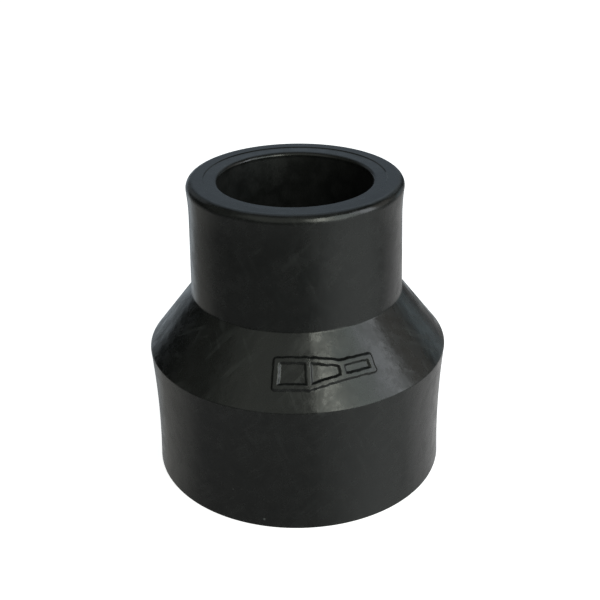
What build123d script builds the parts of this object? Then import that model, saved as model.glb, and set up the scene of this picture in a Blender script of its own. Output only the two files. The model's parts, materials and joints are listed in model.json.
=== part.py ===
from build123d import *
import os
from math import atan2, cos, degrees, hypot, radians, sin

# Concentric socket-fusion reducer, which welds a 40 mm plastic pipe to a 25 mm one.
# The real reducer is a single injection moulding. Its regions are separate solids here, and they meet face
# to face at the moulding's own corners: the large socket, the reducing cone, the small socket and the mark.
# Millimetres. The part's axis is Z, and the origin is the centre of the large socket's end face.

# Outside diameters of the pipes that the two sockets weld to
LARGE_PIPE = 40.0
SMALL_PIPE = 25.0

# Heights above the large socket's end face
SHOULDER_Z = 21.2           # top of the large socket, where the cone starts
CREASE_Z = 30.6             # top of the cone, where the small socket starts
NECK_Z = 43.0               # narrowest place of the small socket
TOTAL_HEIGHT = 49.1

# Depths from each socket's end face to its pipe stop
LARGE_SOCKET_DEPTH = 20.6
SMALL_SOCKET_DEPTH = 17.0

# Outside radii
BASE_R = 23.85              # large socket at its end face
WAIST_R = 23.65             # large socket at mid height, drawn in as the thick wall shrank
SHOULDER_R = 24.2
CREASE_R = 17.0             # small socket at its foot, from where the mould's draft narrows it
NECK_R = 16.72
RIM_R = 17.1                # where the rim's flare would meet its flat face, without the rounding

# Inside. Each bore is smaller across than its pipe by the skin that both of them melt.
LARGE_MELT = 1.0
SMALL_MELT = 0.9
LEDGE = 2.0                 # width of each pipe stop, and what it leaves is the waterway

# Edge roundings
MOUTH_ROUNDING = 0.65       # lead-in of both bores
BASE_ROUNDING = 0.3
RIM_ROUNDING = 1.35

# Raised mark on the cone: the side view of a wide pipe, a taper and a narrow pipe, as joined outlines
MARK_AZIMUTH = 11.5         # degrees round the axis from -Y towards +X
MARK_CENTRE = 5.8           # distance of its middle up the cone's slope from the shoulder
MARK_HEIGHT = 0.35          # how far it stands out of the cone
STROKE = 0.9
WIDE_HALF = 2.45            # half the height of its wide pipe
NARROW_HALF = 1.5           # half the height of its narrow pipe
PIPE_WIDTH = 5.6            # along the mark, for each of its two pipes
TAPER_WIDTH = 6.0
MARK_CORNER = 0.4           # rounding of the outlines' corners

LARGE_BORE_R = (LARGE_PIPE - LARGE_MELT) / 2
SMALL_BORE_R = (SMALL_PIPE - SMALL_MELT) / 2
SMALL_STOP_Z = TOTAL_HEIGHT - SMALL_SOCKET_DEPTH
LARGE_WATERWAY_R = LARGE_BORE_R - LEDGE
SMALL_WATERWAY_R = SMALL_BORE_R - LEDGE
CONE_ANGLE = atan2(SHOULDER_R - CREASE_R, CREASE_Z - SHOULDER_Z)    # from the axis, in radians

os.makedirs("parts", exist_ok=True)


# Large socket: a tube with a slight waist, with the 40 mm pipe's stop as a ledge at its top.
with BuildPart() as large_socket:
    with BuildSketch(Plane.XZ):
        with BuildLine():
            ThreePointArc((BASE_R, 0), (WAIST_R, SHOULDER_Z / 2), (SHOULDER_R, SHOULDER_Z))
            Polyline(
                (SHOULDER_R, SHOULDER_Z),
                (LARGE_WATERWAY_R, SHOULDER_Z),
                (LARGE_WATERWAY_R, LARGE_SOCKET_DEPTH),
                (LARGE_BORE_R, LARGE_SOCKET_DEPTH),
                (LARGE_BORE_R, 0),
                (BASE_R, 0),
            )
        make_face()
    revolve(axis=Axis.Z)
    end_edges = large_socket.edges().filter_by(GeomType.CIRCLE).group_by(Axis.Z)[0].sort_by(SortBy.RADIUS)
    fillet(end_edges[0], MOUTH_ROUNDING)
    fillet(end_edges[-1], BASE_ROUNDING)

large_socket.part.label = "large_socket"
export_step(large_socket.part, "parts/large_socket.step")


# Reducing cone: an even wall round the tapering waterway
with BuildPart() as reducing_cone:
    with BuildSketch(Plane.XZ):
        with BuildLine():
            Polyline(
                (LARGE_WATERWAY_R, SHOULDER_Z),
                (SHOULDER_R, SHOULDER_Z),
                (CREASE_R, CREASE_Z),
                (SMALL_WATERWAY_R, CREASE_Z),
                close=True,
            )
        make_face()
    revolve(axis=Axis.Z)

reducing_cone.part.label = "reducing_cone"
export_step(reducing_cone.part, "parts/reducing_cone.step")


# Small socket: a drafted tube that flares at its flat rim, with the 25 mm pipe's stop as a ledge at its foot
with BuildPart() as small_socket:
    with BuildSketch(Plane.XZ):
        with BuildLine():
            drafted = Line((CREASE_R, CREASE_Z), (NECK_R, NECK_Z))
            TangentArc(drafted @ 1, (RIM_R, TOTAL_HEIGHT), tangent=drafted % 1)
            Polyline(
                (RIM_R, TOTAL_HEIGHT),
                (SMALL_BORE_R, TOTAL_HEIGHT),
                (SMALL_BORE_R, SMALL_STOP_Z),
                (SMALL_WATERWAY_R, SMALL_STOP_Z),
                (SMALL_WATERWAY_R, CREASE_Z),
                (CREASE_R, CREASE_Z),
            )
        make_face()
    revolve(axis=Axis.Z)
    rim_edges = small_socket.edges().filter_by(GeomType.CIRCLE).group_by(Axis.Z)[-1].sort_by(SortBy.RADIUS)
    fillet(rim_edges[0], MOUTH_ROUNDING)
    fillet(rim_edges[-1], RIM_ROUNDING)

small_socket.part.label = "small_socket"
export_step(small_socket.part, "parts/small_socket.step")


# Raised mark. It is drawn flat on the plane that touches the cone at the mark's middle, as the unrolled
# cone, and cut to the thin layer over the cone.
mark_r = SHOULDER_R - MARK_CENTRE * sin(CONE_ANGLE)
mark_z = SHOULDER_Z + MARK_CENTRE * cos(CONE_ANGLE)
apex_distance = mark_r / sin(CONE_ANGLE)
facing = radians(MARK_AZIMUTH)
mark_plane = Plane(
    origin=(mark_r * sin(facing), -mark_r * cos(facing), mark_z),
    x_dir=(cos(facing), sin(facing), 0),
    z_dir=(cos(CONE_ANGLE) * sin(facing), -cos(CONE_ANGLE) * cos(facing), sin(CONE_ANGLE)),
)


def unrolled(along, up):
    """The point on the flat plane for a distance round the cone and a distance up its slope."""
    angle = along / apex_distance
    reach = apex_distance - up
    return reach * sin(angle), apex_distance - reach * cos(angle)


def outline(start, width, left_half, right_half):
    """Adds one four-cornered outline to the sketch, from start to the right, with its half heights."""
    end = start + width
    corners = [(start, -left_half), (end, -right_half), (end, right_half), (start, left_half)]
    with BuildSketch(mode=Mode.PRIVATE) as ring:
        with BuildLine():
            Polyline(*[unrolled(along, up) for along, up in corners], close=True)
        make_face()
        fillet(ring.vertices(), MARK_CORNER)
        offset(amount=-STROKE, kind=Kind.INTERSECTION, mode=Mode.SUBTRACT)
    add(ring.sketch)


with BuildPart() as raised_mark:
    with BuildSketch(mark_plane):
        taper_start = -TAPER_WIDTH / 2
        outline(taper_start + STROKE - PIPE_WIDTH, PIPE_WIDTH, WIDE_HALF, WIDE_HALF)
        outline(taper_start, TAPER_WIDTH, WIDE_HALF, NARROW_HALF)
        outline(-taper_start - STROKE, PIPE_WIDTH, NARROW_HALF, NARROW_HALF)
    extrude(amount=MARK_CENTRE, both=True)
    with BuildSketch(Plane.XZ):
        rise_r = MARK_HEIGHT * cos(CONE_ANGLE)
        rise_z = MARK_HEIGHT * sin(CONE_ANGLE)
        with BuildLine():
            Polyline(
                (SHOULDER_R, SHOULDER_Z),
                (SHOULDER_R + rise_r, SHOULDER_Z + rise_z),
                (CREASE_R + rise_r, CREASE_Z + rise_z),
                (CREASE_R, CREASE_Z),
                close=True,
            )
        make_face()
    revolve(axis=Axis.Z, mode=Mode.INTERSECT)

raised_mark.part.label = "raised_mark"
export_step(raised_mark.part, "parts/raised_mark.step")

print(f"cone {degrees(CONE_ANGLE):.1f} degrees from the axis, "
      f"slope {hypot(SHOULDER_R - CREASE_R, CREASE_Z - SHOULDER_Z):.2f} mm")
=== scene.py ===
import json
from math import acos, atan2, ceil, cos, pi, radians, sin, tan

import bpy
import numpy as np
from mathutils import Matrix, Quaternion, Vector, noise


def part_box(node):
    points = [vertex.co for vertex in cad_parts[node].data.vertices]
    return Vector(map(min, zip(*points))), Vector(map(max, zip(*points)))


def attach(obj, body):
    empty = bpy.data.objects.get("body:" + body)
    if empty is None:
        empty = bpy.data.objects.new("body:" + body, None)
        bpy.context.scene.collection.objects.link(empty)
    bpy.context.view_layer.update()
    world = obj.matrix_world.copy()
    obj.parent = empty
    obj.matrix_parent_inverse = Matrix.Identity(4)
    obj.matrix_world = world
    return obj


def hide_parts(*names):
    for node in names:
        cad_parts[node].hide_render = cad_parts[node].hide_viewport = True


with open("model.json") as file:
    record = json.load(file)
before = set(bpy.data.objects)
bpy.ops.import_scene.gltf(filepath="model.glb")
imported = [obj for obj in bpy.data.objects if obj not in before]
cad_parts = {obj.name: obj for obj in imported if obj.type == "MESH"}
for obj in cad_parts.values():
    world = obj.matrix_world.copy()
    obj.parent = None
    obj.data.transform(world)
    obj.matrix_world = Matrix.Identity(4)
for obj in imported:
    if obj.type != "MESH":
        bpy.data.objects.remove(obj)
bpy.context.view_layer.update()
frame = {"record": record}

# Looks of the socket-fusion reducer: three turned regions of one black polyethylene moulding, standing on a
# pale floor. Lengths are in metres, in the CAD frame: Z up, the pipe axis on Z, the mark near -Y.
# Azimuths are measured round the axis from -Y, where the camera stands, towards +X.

MM = 0.001
RECORD = frame["record"]
MOUNTS = {mount["name"]: mount for mount in RECORD["mounts"]}

# Sizes read from the frame
CONE_LOW, CONE_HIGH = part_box("reducing_cone")
SHOULDER_Z = CONE_LOW.z
CREASE_Z = CONE_HIGH.z
TOP_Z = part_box("small_socket")[1].z
SHOULDER_R = CONE_HIGH.x
LARGE_BORE_R = MOUNTS["large_bore"]["dims"]["r_mm"] * MM
SMALL_BORE_R = MOUNTS["small_bore"]["dims"]["r_mm"] * MM
LARGE_STOP_Z = MOUNTS["large_pipe_stop"]["pos_m"][2]
SMALL_STOP_Z = MOUNTS["small_pipe_stop"]["pos_m"][2]

# Sizes that the frame doesn't state, as in the CAD model
BASE_R = 23.85 * MM
WAIST_R = 23.65 * MM
CREASE_R = 17.0 * MM
NECK_R = 16.72 * MM         # at the narrowest place of the small socket, which is at NECK_Z
NECK_Z = 43.0 * MM
RIM_R = 17.1 * MM
LEDGE = 2.0 * MM
LARGE_WATERWAY_R = LARGE_BORE_R - LEDGE
SMALL_WATERWAY_R = SMALL_BORE_R - LEDGE
CONE_ANGLE = atan2(SHOULDER_R - CREASE_R, CREASE_Z - SHOULDER_Z)    # from the axis

# Roundings of the moulding's corners
MOUTH_ROUNDING = 0.65 * MM
BASE_ROUNDING = 0.3 * MM
RIM_ROUNDING = 1.35 * MM
SHOULDER_ROUNDING = 0.3 * MM
CREASE_ROUNDING = 0.5 * MM
LEDGE_ROUNDING = 0.2 * MM

# The cone's mesh runs this far past its two corners, so that each seam lies on a plain wall
SEAM = SHOULDER_Z - LARGE_STOP_Z

# Fine step that the mould's core sleeve leaves on the rim's flat face, which dips towards the bore inside it
STEP_R = 14.2 * MM
STEP_WIDTH = 0.14 * MM
STEP_DEPTH = 0.15 * MM
STEP_ROUNDING = 0.05 * MM
STEP_FOOT_ROUNDING = 0.1 * MM
RIM_DISH = 0.17 * MM

# Mesh resolution
SEGMENTS = 256
ARC_STEP = radians(11)      # turn of one face in a rounding
LONG_STEP = 0.7 * MM        # length of one face along a straight run
EDGE_STEP = 0.06 * MM       # narrow face beside each rounding, which keeps the run's shading flat
SHARP_ANGLE = radians(35)   # corners beyond this are shaded sharp

# Sink of the thick walls as they cooled: how far the outside dips, and over what distance
SINK_DEPTH = 0.035 * MM
SINK_LENGTH = 9 * MM


# ---- Profiles: closed loops of (radius, height) points, turned round the axis ----

def run(start, end, step=LONG_STEP):
    """Points from start up to, but not including, end, with a narrow first and last face."""
    start, end = Vector(start), Vector(end)
    length = (end - start).length
    if length < 4 * EDGE_STEP:
        return [start]
    inner = length - 2 * EDGE_STEP
    count = max(1, ceil(inner / step))
    along = [0.0] + [EDGE_STEP + inner * i / count for i in range(count + 1)]
    return [start.lerp(end, distance / length) for distance in along]


def rounding(before, corner, after, radius):
    """The arc that rounds a corner, as points from the run before it to the run after it."""
    corner = Vector(corner)
    back = (Vector(before) - corner).normalized()
    ahead = (Vector(after) - corner).normalized()
    half = acos(max(-1.0, min(1.0, back.dot(ahead)))) / 2
    centre = corner + (back + ahead).normalized() * (radius / sin(half))
    first = corner + back * (radius / tan(half)) - centre
    last = corner + ahead * (radius / tan(half)) - centre
    turn = pi - 2 * half
    side = 1 if first.x * last.y - first.y * last.x > 0 else -1
    count = max(2, ceil(turn / ARC_STEP))
    points = []
    for i in range(count + 1):
        angle = side * turn * i / count
        points.append(centre + Vector((
            first.x * cos(angle) - first.y * sin(angle),
            first.x * sin(angle) + first.y * cos(angle),
        )))
    return points


def outline(corners, steps=None):
    """The closed profile through (radius, height, rounding) corners. steps gives a run its own face length,
    by the number of the corner that it starts from."""
    steps = steps or {}
    arcs = []
    for i, (r, z, radius) in enumerate(corners):
        before, after = corners[i - 1][:2], corners[(i + 1) % len(corners)][:2]
        arcs.append(rounding(before, (r, z), after, radius) if radius else [Vector((r, z))])
    points = []
    for i, arc in enumerate(arcs):
        following = arcs[(i + 1) % len(arcs)][0]
        points += arc[:-1] + run(arc[-1], following, steps.get(i, LONG_STEP))
    return points


def waist(height):
    """Outside radius of the large socket at a height: the arc through its base, waist and shoulder."""
    middle = SHOULDER_Z / 2
    chord = BASE_R + (SHOULDER_R - BASE_R) * height / SHOULDER_Z
    dip = (BASE_R + SHOULDER_R) / 2 - WAIST_R
    return chord - dip * (1 - ((height - middle) / middle) ** 2)


def neck(height):
    """Outside radius of the small socket at a height: the mould's draft, then a flare up to the rim."""
    draft = (NECK_R - CREASE_R) / (NECK_Z - CREASE_Z)
    flare = RIM_R - NECK_R - draft * (TOP_Z - NECK_Z)
    share = max(0.0, height - NECK_Z) / (TOP_Z - NECK_Z)
    return NECK_R + draft * (height - NECK_Z) + flare * share * share


# ---- Turned meshes ----

def even_azimuths():
    return [2 * pi * i / SEGMENTS for i in range(SEGMENTS)]


def sink(azimuth, height):
    """Depth of the shallow unevenness in an outside wall."""
    across = NECK_R / SINK_LENGTH
    place = Vector((cos(azimuth) * across, sin(azimuth) * across, height / SINK_LENGTH))
    return SINK_DEPTH * (0.5 + 0.5 * noise.noise(place))


def turned(name, profile, azimuths, shape=None):
    """A closed piece: the profile turned round the axis. shape moves each point, given its radius, height and
    azimuth, and returns its new radius and height."""
    rows, columns = len(profile), len(azimuths)
    points = []
    for r, z in profile:
        for azimuth in azimuths:
            radius, height = shape(r, z, azimuth) if shape else (r, z)
            points.append((radius * sin(azimuth), -radius * cos(azimuth), height))
    faces = []
    for i in range(rows):
        lower, upper = i * columns, (i + 1) % rows * columns
        for j in range(columns):
            k = (j + 1) % columns
            faces.append((lower + j, lower + k, upper + k, upper + j))
    mesh = bpy.data.meshes.new(name)
    mesh.from_pydata(points, [], faces)
    mesh.shade_smooth()
    mesh.set_sharp_from_angle(angle=SHARP_ANGLE)
    piece = bpy.data.objects.new(name, mesh)
    bpy.context.scene.collection.objects.link(piece)
    return piece


def large_socket_wall():
    """The large socket up to its pipe stop, with its waist."""
    top = LARGE_STOP_Z
    profile = outline([
        (LARGE_BORE_R, 0, MOUTH_ROUNDING),
        (BASE_R, 0, BASE_ROUNDING),
        (BASE_R, top, 0),
        (LARGE_BORE_R, top, 0),
    ])

    def shape(r, z, azimuth):
        if r < BASE_R - BASE_ROUNDING:
            return r, z
        return r + waist(z) - BASE_R - sink(azimuth, z), z

    piece = turned("large_socket_wall", profile, even_azimuths(), shape)
    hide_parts("large_socket")
    return piece


def small_socket_wall():
    """The small socket, with the pipe stop at its foot and the fine step on its rim."""
    foot = CREASE_Z + SEAM
    profile = outline([
        (SMALL_WATERWAY_R, foot, 0),
        (RIM_R, foot, 0),
        (RIM_R, TOP_Z, RIM_ROUNDING),
        (STEP_R + STEP_WIDTH / 2, TOP_Z, STEP_ROUNDING),
        (STEP_R - STEP_WIDTH / 2, TOP_Z - STEP_DEPTH, STEP_FOOT_ROUNDING),
        (SMALL_BORE_R, TOP_Z - STEP_DEPTH - RIM_DISH, MOUTH_ROUNDING),
        (SMALL_BORE_R, SMALL_STOP_Z, 0),
        (SMALL_WATERWAY_R, SMALL_STOP_Z, LEDGE_ROUNDING),
    ])

    def shape(r, z, azimuth):
        if r < RIM_R - RIM_ROUNDING:
            return r, z
        return r + neck(z) - RIM_R - sink(azimuth, z), z

    piece = turned("small_socket_wall", profile, even_azimuths(), shape)
    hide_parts("small_socket")
    return piece


# ---- The raised mark, as a height over the cone ----

MARK_AZIMUTH = radians(11.5)
MARK_CENTRE = 5.8 * MM      # up the slope from the shoulder
MARK_HEIGHT = 0.35 * MM
STROKE = 0.9 * MM
WIDE_HALF = 2.45 * MM
NARROW_HALF = 1.5 * MM
PIPE_WIDTH = 5.6 * MM
TAPER_WIDTH = 6.0 * MM
MARK_DRAFT = 0.42 * MM      # width of a stroke's sloping side, rounded at its top and foot
MARK_WOBBLE = 0.11 * MM     # unevenness of the strokes' hand-cut edges, and its length
MARK_WOBBLE_LENGTH = 0.8 * MM
MARK_STEP = 0.075 * MM      # face length over the mark
MARK_REACH = WIDE_HALF + 2 * MARK_DRAFT     # of the short faces, up and down the slope from the mark's middle

MARK_R = SHOULDER_R - MARK_CENTRE * sin(CONE_ANGLE)
MARK_Z = SHOULDER_Z + MARK_CENTRE * cos(CONE_ANGLE)
APEX_DISTANCE = MARK_R / sin(CONE_ANGLE)
MARK_SPREAD = (TAPER_WIDTH / 2 + PIPE_WIDTH) / MARK_R    # half the mark's extent round the axis


def unrolled(along, up):
    """The point of the flat pattern for a distance round the cone and a distance up its slope."""
    angle = along / APEX_DISTANCE
    reach = APEX_DISTANCE - up
    return np.array((reach * sin(angle), APEX_DISTANCE - reach * cos(angle)))


def mark_strokes():
    """Centre lines of the mark: the side view of a wide pipe, a taper and a narrow pipe."""
    inset = STROKE / 2
    uprights = [
        (STROKE - TAPER_WIDTH / 2 - PIPE_WIDTH + inset, WIDE_HALF - inset),
        (inset - TAPER_WIDTH / 2, WIDE_HALF - inset),
        (TAPER_WIDTH / 2 - inset, NARROW_HALF - inset),
        (TAPER_WIDTH / 2 + PIPE_WIDTH - STROKE - inset, NARROW_HALF - inset),
    ]
    strokes = [(unrolled(along, -half), unrolled(along, half)) for along, half in uprights]
    for (along, half), (next_along, next_half) in zip(uprights, uprights[1:]):
        for side in (-1, 1):
            strokes.append((unrolled(along, side * half), unrolled(next_along, side * next_half)))
    return strokes


STROKES = mark_strokes()


def mark_height(radius, height, azimuth):
    """How far the mark stands out of the cone at a point of the cone."""
    turn = azimuth - MARK_AZIMUTH
    across = radius * sin(turn)
    up = (height - MARK_Z) * cos(CONE_ANGLE) + (MARK_R - radius * cos(turn)) * sin(CONE_ANGLE)
    place = np.array((across, up))
    nearest = 1.0
    for start, end in STROKES:
        along = end - start
        share = np.clip((place - start) @ along / (along @ along), 0, 1)
        nearest = min(nearest, float(np.linalg.norm(place - start - share * along)))
    wobble = MARK_WOBBLE * noise.noise(Vector((across, up, 0)) / MARK_WOBBLE_LENGTH)
    side = (STROKE + MARK_DRAFT) / 2 - nearest + wobble
    share = min(1.0, max(0.0, side / MARK_DRAFT))
    return MARK_HEIGHT * share * share * (3 - 2 * share)


def cone_azimuths():
    """Azimuths round the cone, close together over the mark."""
    fine = ceil(2 * MARK_SPREAD * MARK_R / MARK_STEP)
    coarse = ceil((2 * pi - 2 * MARK_SPREAD) / (2 * pi) * SEGMENTS)
    start, end = MARK_AZIMUTH - MARK_SPREAD, MARK_AZIMUTH + MARK_SPREAD
    over_mark = [start + (end - start) * i / fine for i in range(fine)]
    return over_mark + [end + (2 * pi + start - end) * i / coarse for i in range(coarse)]


def reducing_cone_wall():
    """The cone from the large pipe stop to just above the crease, with the mark raised on it."""
    foot, top = LARGE_STOP_Z, CREASE_Z + SEAM

    def on_slope(up):
        """A point with no rounding, at a distance up the cone's slope from the shoulder."""
        return SHOULDER_R - up * sin(CONE_ANGLE), SHOULDER_Z + up * cos(CONE_ANGLE), 0

    corners = [
        (LARGE_WATERWAY_R, foot, LEDGE_ROUNDING),
        (waist(foot), foot, 0),
        (SHOULDER_R, SHOULDER_Z, SHOULDER_ROUNDING),
        on_slope(MARK_CENTRE - MARK_REACH),
        on_slope(MARK_CENTRE + MARK_REACH),
        (CREASE_R, CREASE_Z, CREASE_ROUNDING),
        (neck(top), top, 0),
        (SMALL_WATERWAY_R, top, 0),
        (SMALL_WATERWAY_R, CREASE_Z, 0),
        (LARGE_WATERWAY_R, SHOULDER_Z, 0),
    ]
    profile = outline(corners, steps={3: MARK_STEP})

    def shape(r, z, azimuth):
        if r < NECK_R:
            return r, z
        if not SHOULDER_Z < z < CREASE_Z or abs(azimuth - MARK_AZIMUTH) > MARK_SPREAD:
            return r - sink(azimuth, z), z
        lift = mark_height(r, z, azimuth)
        return r + lift * cos(CONE_ANGLE) - sink(azimuth, z), z + lift * sin(CONE_ANGLE)

    piece = turned("reducing_cone_wall", profile, cone_azimuths(), shape)
    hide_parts("reducing_cone", "raised_mark")
    return piece


# ---- Nodes ----

class Nodes:
    """Adds nodes to a tree. A value is a number, a tuple or another node's output."""

    def __init__(self, tree):
        self.tree = tree

    def add(self, kind, **settings):
        made = self.tree.nodes.new("ShaderNode" + kind)
        for key, value in settings.items():
            setattr(made, key, value)
        return made

    def feed(self, socket, value):
        if isinstance(value, bpy.types.NodeSocket):
            self.tree.links.new(value, socket)
        else:
            socket.default_value = value

    def math(self, operation, *values):
        made = self.add("Math", operation=operation)
        for socket, value in zip(made.inputs, values):
            self.feed(socket, value)
        return made.outputs["Value"]

    def inverse(self, mask):
        return self.math("SUBTRACT", 1, mask)

    def vector(self, operation, *values):
        made = self.add("VectorMath", operation=operation)
        for socket, value in zip(made.inputs, values):
            self.feed(socket, value)
        return made.outputs["Vector"]

    def parts(self, vector):
        made = self.add("SeparateXYZ")
        self.feed(made.inputs["Vector"], vector)
        return made.outputs

    def scaled(self, vector, scale):
        made = self.add("VectorMath", operation="SCALE")
        self.feed(made.inputs[0], vector)
        self.feed(made.inputs["Scale"], scale)
        return made.outputs["Vector"]

    def ramp(self, value, start, end, low=0.0, high=1.0):
        """Smooth step from low at start to high at end."""
        made = self.add("MapRange", interpolation_type="SMOOTHSTEP")
        settings = {"Value": value, "From Min": start, "From Max": end, "To Min": low, "To Max": high}
        for name, setting in settings.items():
            self.feed(made.inputs[name], setting)
        return made.outputs["Result"]

    def mix(self, share, first, second):
        """From the first number at share 0 to the second at share 1."""
        made = self.add("Mix", data_type="FLOAT")
        for socket, value in zip(made.inputs[:4], (share, None, first, second)):
            if value is not None:
                self.feed(socket, value)
        return made.outputs[0]

    def noise(self, place, size, detail=1.0, roughness=0.5, stretch=(1, 1, 1), turn=(0, 0, 0)):
        """Noise from 0 to 1 round 0.5. Its features are about size mm, times stretch along turned axes."""
        mapping = self.add("Mapping")
        self.feed(mapping.inputs["Vector"], place)
        mapping.inputs["Rotation"].default_value = [radians(angle) for angle in turn]
        pattern = self.add("TexNoise", noise_dimensions="3D")
        self.feed(pattern.inputs["Vector"], self.vector("DIVIDE", mapping.outputs["Vector"], stretch))
        pattern.inputs["Scale"].default_value = 1 / size
        pattern.inputs["Detail"].default_value = detail
        pattern.inputs["Roughness"].default_value = roughness
        return pattern.outputs["Fac"]


# ---- Material ----

# Sizes are in mm on the moulding. The patterns run on through all three of its regions.
BASE_COLOUR = (0.0070, 0.0076, 0.0072)

# Plain patterns: feature size, noise detail and noise roughness
NOISES = {
    "clouds": (7, 2, 0.5),
    "mottle": (2.2, 3, 0.6),
    "ripple": (3.4, 1, 0.5),
    "satin": (1.3, 2, 0.6),
    "grain": (0.3, 1, 0.5),
}

# Both directions of scuffs: a line's width, its length as a multiple of that, and its slant in degrees. Then
# the size and the turn of the patches they come in, and the patch noise's values outside and inside one.
SCUFFS = (
    (0.7, 11, 42, 5, 0, 0.45, 0.60),
    (0.9, 8, -66, 4, 90, 0.48, 0.62),
)
SCUFF_EDGE = (0.52, 0.68)   # the line noise's values beside a line and on it
SCUFF_TURN = 3              # width of the blend between the pattern of the front and that of the sides
WALL_SCUFFS = 0.3           # strength on the upright walls, beside 1 on the cone

DRUM_RADIUS = 20            # radius at which drag lines and flutes are drawn, whatever the wall's own
DRUM_RISE = 0.04            # climb of their pattern for each mm of height, which draws it out into lines
DRAG_SIZE = 1.4
FLUTE_SIZE = 5
RING_SIZE = 0.4
RING_STRETCH = 30           # length of the bore's rings, as a multiple of their width

SPECK_CELLS = 0.2           # cells for each mm
SPECK_SHARE = 0.25          # part of the cells that hold a speck
SPECK_EDGE = (0.065, 0.045)     # radii of no speck and full speck, as parts of a cell
SPECK_RAGGED = 0.04         # unevenness of that edge

CORNER_WEAR = 0.9           # how far wear reaches from the shoulder
FOOT_WEAR = (1.1, 0.2)      # heights of no wear and full wear at the foot
WEAR_SIZE = 1.1
WEAR_EDGE = (0.5, 0.66)     # the wear noise's values at no wear and at full wear
BLOTCH_EDGE = (0.36, 0.64)  # the mottle's values at no blotch and at full blotch

# Part of the ripple and of the satin relief that is left on the upright walls. The bore has none.
WALL_RIPPLE = 0.35
WALL_SATIN = 0.5

# What each pattern adds where it is at its full 1. Relief is in mm.
START_PALENESS = 0.55
PALENESS = {"clouds": 0.4, "mottle": 0.5, "scuffs": 1.0, "wear": 0.6, "specks": 6.0}
START_ROUGHNESS = 0.08
ROUGHNESS = {
    "clouds": 0.14, "blotches": 0.11, "drag": 0.06, "scuffs": 0.07, "wear": 0.07, "specks": 0.3,
    "inside": 0.18, "on_cone": 0.03,
}
RELIEF = {
    "ripple": 0.10, "satin": 0.035, "grain": 0.0015, "drag": 0.012, "flutes": 0.10, "scuffs": -0.006,
    "specks": 0.03, "rings": 0.008,
}


def skin_regions(n, radius, z):
    """Masks of the bore, the cone and the rim, which blend over a few tenths of a mm."""
    bore, shoulder, crease, top = SMALL_BORE_R / MM, SHOULDER_Z / MM, CREASE_Z / MM, TOP_Z / MM
    inside = n.math("MULTIPLY", n.ramp(radius, bore + 0.6, bore + 0.3), n.ramp(z, top - 0.6, top - 1.2))
    on_cone = n.math(
        "MULTIPLY", n.ramp(z, shoulder - 0.2, shoulder + 0.4), n.ramp(z, crease + 0.4, crease - 0.2),
    )
    on_rim = n.ramp(z, top - 0.9, top - 0.3)
    return inside, on_cone, on_rim


def scuff_strokes(n, place, x, y):
    """Soft strokes in two slanted directions on each side, in patches."""
    sideways = n.math("SUBTRACT", n.math("ABSOLUTE", x), n.math("ABSOLUTE", y))
    facing_side = n.ramp(sideways, -SCUFF_TURN, SCUFF_TURN)
    strokes = []
    for width, length, slant, patch_size, patch_turn, outside, within in SCUFFS:
        stretch = (length, length, 1)
        lines = n.mix(
            facing_side,
            n.noise(place, width, detail=2, stretch=stretch, turn=(0, slant, 0)),
            n.noise(place, width, detail=2, stretch=stretch, turn=(slant, 0, 0)),
        )
        patches = n.ramp(n.noise(place, patch_size, turn=(0, 0, patch_turn)), outside, within)
        strokes.append(n.math("MULTIPLY", n.ramp(lines, *SCUFF_EDGE), patches))
    return n.math("ADD", *strokes)


def pale_specks(n, place, grain):
    """Sparse pale specks with ragged edges, each in a cell of its own."""
    cells = n.add("TexVoronoi", feature="F1")
    n.feed(cells.inputs["Vector"], place)
    cells.inputs["Scale"].default_value = SPECK_CELLS
    distance = n.math("ADD", cells.outputs["Distance"], n.math("MULTIPLY", grain, SPECK_RAGGED))
    chosen = n.math("GREATER_THAN", n.parts(cells.outputs["Color"])[0], 1 - SPECK_SHARE)
    return n.math("MULTIPLY", n.ramp(distance, *SPECK_EDGE), chosen)


def corner_wear(n, place, z):
    """Patches on the shoulder and the foot that other fittings have rubbed."""
    corner = SHOULDER_Z / MM
    shoulder = n.math(
        "MULTIPLY", n.ramp(z, corner - CORNER_WEAR, corner), n.ramp(z, corner + CORNER_WEAR, corner),
    )
    worn = n.ramp(n.noise(place, WEAR_SIZE, detail=3, roughness=0.65), *WEAR_EDGE)
    return n.math("MULTIPLY", n.math("MAXIMUM", shoulder, n.ramp(z, *FOOT_WEAR)), worn)


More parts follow.
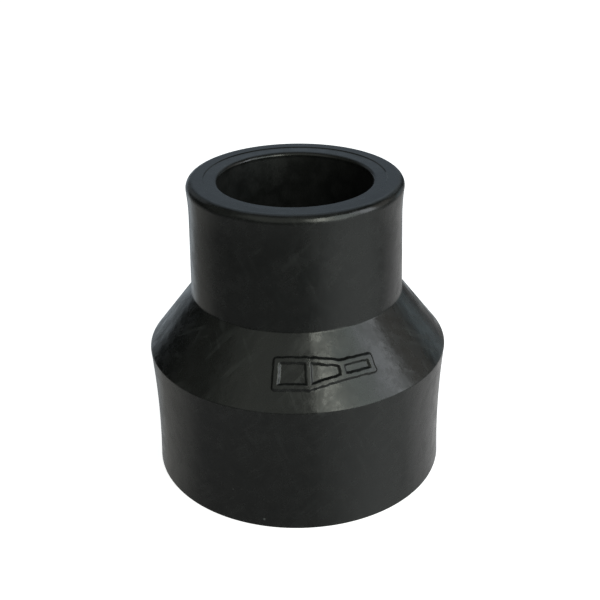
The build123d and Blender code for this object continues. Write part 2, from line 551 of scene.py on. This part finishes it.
def black_polyethylene():
    """Black polyethylene as moulded: a satin skin with flow clouds, fine grain, drag lines and scuffs."""
    material = bpy.data.materials.new("black_polyethylene")
    material.use_nodes = True
    n = Nodes(material.node_tree)
    shader = material.node_tree.nodes["Principled BSDF"]
    shader.inputs["IOR"].default_value = 1.5

    place = n.scaled(n.add("TexCoord").outputs["Object"], 1 / MM)
    x, y, z = n.parts(place)
    radius = n.math("SQRT", n.math("ADD", n.math("MULTIPLY", x, x), n.math("MULTIPLY", y, y)))
    inside, on_cone, on_rim = skin_regions(n, radius, z)
    uneven = n.math("MAXIMUM", on_cone, on_rim)

    patterns = {name: n.noise(place, *settings) for name, settings in NOISES.items()}
    patterns["blotches"] = n.ramp(patterns["mottle"], *BLOTCH_EDGE)
    patterns["inside"] = inside
    patterns["on_cone"] = on_cone

    # The ripple and the satin relief are strongest on the cone and the rim, and weakest in the bore
    for name, wall_share in (("ripple", WALL_RIPPLE), ("satin", WALL_SATIN)):
        share = n.math("SUBTRACT", n.mix(uneven, wall_share, 1.0), n.math("MULTIPLY", inside, wall_share))
        patterns[name] = n.math("MULTIPLY", patterns[name], share)

    # Drag lines up the walls and the cone, from the mould as it opened, and wide shallow flutes outside
    spoke = n.vector("NORMALIZE", n.vector("MULTIPLY", place, (1, 1, 0)))
    drum = n.vector("ADD", n.scaled(spoke, DRUM_RADIUS), n.vector("MULTIPLY", place, (0, 0, DRUM_RISE)))
    patterns["drag"] = n.noise(drum, DRAG_SIZE, detail=3, roughness=0.6)
    outside = n.inverse(n.math("MAXIMUM", on_rim, inside))
    patterns["flutes"] = n.math("MULTIPLY", n.noise(drum, FLUTE_SIZE, detail=0), outside)

    # Turned rings in the bore, from the mould's core
    rings = n.noise(place, RING_SIZE, detail=2, stretch=(RING_STRETCH, RING_STRETCH, 1))
    patterns["rings"] = n.math("MULTIPLY", rings, inside)

    scuffed = n.math("MULTIPLY", n.mix(on_cone, WALL_SCUFFS, 1.0), n.inverse(inside))
    patterns["scuffs"] = n.math("MULTIPLY", scuff_strokes(n, place, x, y), scuffed)
    patterns["specks"] = pale_specks(n, place, patterns["grain"])
    patterns["wear"] = corner_wear(n, place, z)

    def total(start, weights):
        for name, weight in weights.items():
            start = n.math("MULTIPLY_ADD", patterns[name], weight, start)
        return start

    n.feed(shader.inputs["Base Color"], n.scaled(BASE_COLOUR, total(START_PALENESS, PALENESS)))
    n.feed(shader.inputs["Roughness"], total(START_ROUGHNESS, ROUGHNESS))
    bump = n.add("Bump")
    bump.inputs["Distance"].default_value = MM
    n.feed(bump.inputs["Height"], total(0.0, RELIEF))
    n.feed(shader.inputs["Normal"], bump.outputs["Normal"])
    return material


# ---- Stage ----

def aimed(azimuth, elevation):
    """Unit vector towards an azimuth and elevation in degrees."""
    a, e = radians(azimuth), radians(elevation)
    return Vector((sin(a) * cos(e), -cos(a) * cos(e), sin(e)))


FLOOR_HALF = 2.0            # metres
FLOOR_GLOW = 0.84           # lifts the floor to the backdrop's white, so that no horizon shows


def floor():
    corners = [(x * FLOOR_HALF, y * FLOOR_HALF, 0) for x, y in ((-1, -1), (1, -1), (1, 1), (-1, 1))]
    mesh = bpy.data.meshes.new("floor")
    mesh.from_pydata(corners, [], [(0, 1, 2, 3)])
    plane = bpy.data.objects.new("floor", mesh)
    bpy.context.scene.collection.objects.link(plane)
    material = bpy.data.materials.new("floor")
    material.use_nodes = True
    shader = material.node_tree.nodes["Principled BSDF"]
    shader.inputs["Base Color"].default_value = (0.9, 0.9, 0.9, 1)
    shader.inputs["Roughness"].default_value = 0.8
    shader.inputs["Emission Color"].default_value = (1, 1, 1, 1)
    shader.inputs["Emission Strength"].default_value = FLOOR_GLOW
    mesh.materials.append(material)
    plane.visible_glossy = False


# Softboxes, which the plastic mirrors as bright windows: azimuth, elevation, width, height, brightness and
# colour. All are at one distance, in metres, from the middle of the object.
WINDOW_DISTANCE = 0.6
WINDOWS = {
    "key": (27, 26, 0.14, 0.51, 4.3, (1.0, 1.04, 0.92)),
    "key_core": (26, 28, 0.055, 0.42, 2.6, (1.0, 1.03, 0.94)),
    "key_side": (51, 24, 0.245, 0.5, 1.9, (0.93, 1.06, 1.0)),
    "right": (77, 24, 0.19, 0.44, 2.8, (0.95, 1.0, 1.05)),
}


def softbox(name, azimuth, elevation, width, height, radiance, colour):
    """A rectangular light that faces the object. Its radiance is what a mirror would show."""
    light = bpy.data.lights.new(name, "AREA")
    light.shape = "RECTANGLE"
    light.size, light.size_y = width, height
    light.energy = radiance * pi * width * height
    light.color = colour
    lamp = bpy.data.objects.new(name, light)
    bpy.context.scene.collection.objects.link(lamp)
    direction = aimed(azimuth, elevation)
    lamp.location = Vector((0, 0, TOP_Z / 2)) + direction * WINDOW_DISTANCE
    lamp.rotation_mode = "QUATERNION"
    lamp.rotation_quaternion = direction.to_track_quat("Z", "Y")
    lamp.visible_camera = False


# The room that the plastic mirrors, chosen for the look of the gloss: soft patches of light, each with its
# azimuth, elevation, half-angle, brightness and colour. Those below the horizon are the table and the room
# beyond it.
PATCHES = {
    "front": (-22, 34, 30, 0.42, (1.0, 1.05, 0.95)),
    "front_left": (-72, 33, 32, 0.10, (1.0, 1.05, 0.92)),
    "beside_window": (101, 21, 17, 0.42, (1.05, 1.0, 0.92)),
    "window_foot": (40, -4, 9, 1.4, (0.97, 1.03, 0.98)),
    "beyond_table": (62, 0, 32, 0.35, (0.97, 1.02, 1.0)),
    "behind": (180, 13, 22, 0.26, (0.84, 1.0, 1.16)),
    "behind_high": (180, 52, 22, 0.48, (0.84, 1.0, 1.14)),
    "overhead": (0, 90, 30, 0.16, (0.96, 1.0, 1.02)),
    "behind_low": (168, -17, 7, 0.35, (0.88, 1.0, 1.08)),
    "behind_left": (-153, -12, 17, 0.44, (0.88, 1.0, 1.10)),
    "behind_right": (131, 0, 9.5, 0.44, (0.82, 1.0, 1.08)),
    "behind_right_high": (146, 32, 15, 0.30, (0.88, 1.0, 1.08)),
    "far_left": (-135, 26, 14, 0.30, (0.9, 1.0, 1.05)),
    "low_right": (62, -26, 33, 0.235, (0.97, 1.02, 1.0)),
    "low_back_right": (138, -38, 26, 0.40, (1.0, 1.0, 1.0)),
    "low_back_left": (-128, -34, 23, 0.165, (1.02, 1.02, 0.93)),
}
PATCH_BLEND = (0.5, 1.5)    # full brightness and none, as multiples of a patch's half-angle
TABLE_GLOW = 0.26           # brightness straight below, fading out at the horizon
BACKDROP = (1.0, 1.0, 1.0, 1)


def room():
    """World light for the patches, behind a plain white backdrop that only the camera sees."""
    world = bpy.data.worlds.new("room")
    bpy.context.scene.world = world
    world.use_nodes = True
    world.node_tree.nodes.clear()
    n = Nodes(world.node_tree)
    direction = n.add("TexCoord").outputs["Generated"]

    def lobe(centre, full, none, brightness, colour):
        """Light of one colour round a direction, at full brightness from one cosine and gone at another."""
        dot = n.add("VectorMath", operation="DOT_PRODUCT")
        n.feed(dot.inputs[0], direction)
        n.feed(dot.inputs[1], centre)
        return n.scaled(colour, n.ramp(dot.outputs["Value"], none, full, 0, brightness))

    total = lobe((0, 0, -1), 1.0, 0.0, TABLE_GLOW, (1, 1, 1))
    for azimuth, elevation, half, brightness, colour in PATCHES.values():
        full, none = (cos(radians(half * share)) for share in PATCH_BLEND)
        total = n.vector("ADD", total, lobe(aimed(azimuth, elevation), full, none, brightness, colour))
    glow = n.add("Background")
    n.feed(glow.inputs["Color"], total)
    plain = n.add("Background")
    plain.inputs["Color"].default_value = BACKDROP
    seen = n.add("MixShader")
    n.feed(seen.inputs["Fac"], n.add("LightPath").outputs["Is Camera Ray"])
    n.feed(seen.inputs[1], glow.outputs["Background"])
    n.feed(seen.inputs[2], plain.outputs["Background"])
    n.feed(n.add("OutputWorld").inputs["Surface"], seen.outputs["Shader"])


# Camera: above the object and in front, close, and held with a slight roll. Angles are in degrees.
CAMERA_AIM = Vector((0.5 * MM, 0, 0.564 * TOP_Z))
CAMERA_DISTANCE = 171.8 * MM
CAMERA_ELEVATION = 26.48
CAMERA_ROLL = -0.853
CAMERA_LENS = 63.14         # mm, on a sensor of the width below
CAMERA_SENSOR = 36


def camera():
    data = bpy.data.cameras.new("camera")
    data.sensor_width = CAMERA_SENSOR
    data.lens = CAMERA_LENS
    data.clip_start = 0.01
    shot = bpy.data.objects.new("camera", data)
    bpy.context.scene.collection.objects.link(shot)
    away = aimed(0, CAMERA_ELEVATION)
    shot.location = CAMERA_AIM + away * CAMERA_DISTANCE
    shot.rotation_mode = "QUATERNION"
    shot.rotation_quaternion = away.to_track_quat("Z", "Y") @ Quaternion((0, 0, 1), radians(CAMERA_ROLL))
    bpy.context.scene.camera = shot


camera()
room()
floor()
for name, window in WINDOWS.items():
    softbox(name, *window)

plastic = black_polyethylene()
for make in (large_socket_wall, reducing_cone_wall, small_socket_wall):
    wall = make()
    wall.data.materials.append(plastic)
    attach(wall, "root")

bpy.context.scene.view_settings.view_transform = "Standard"
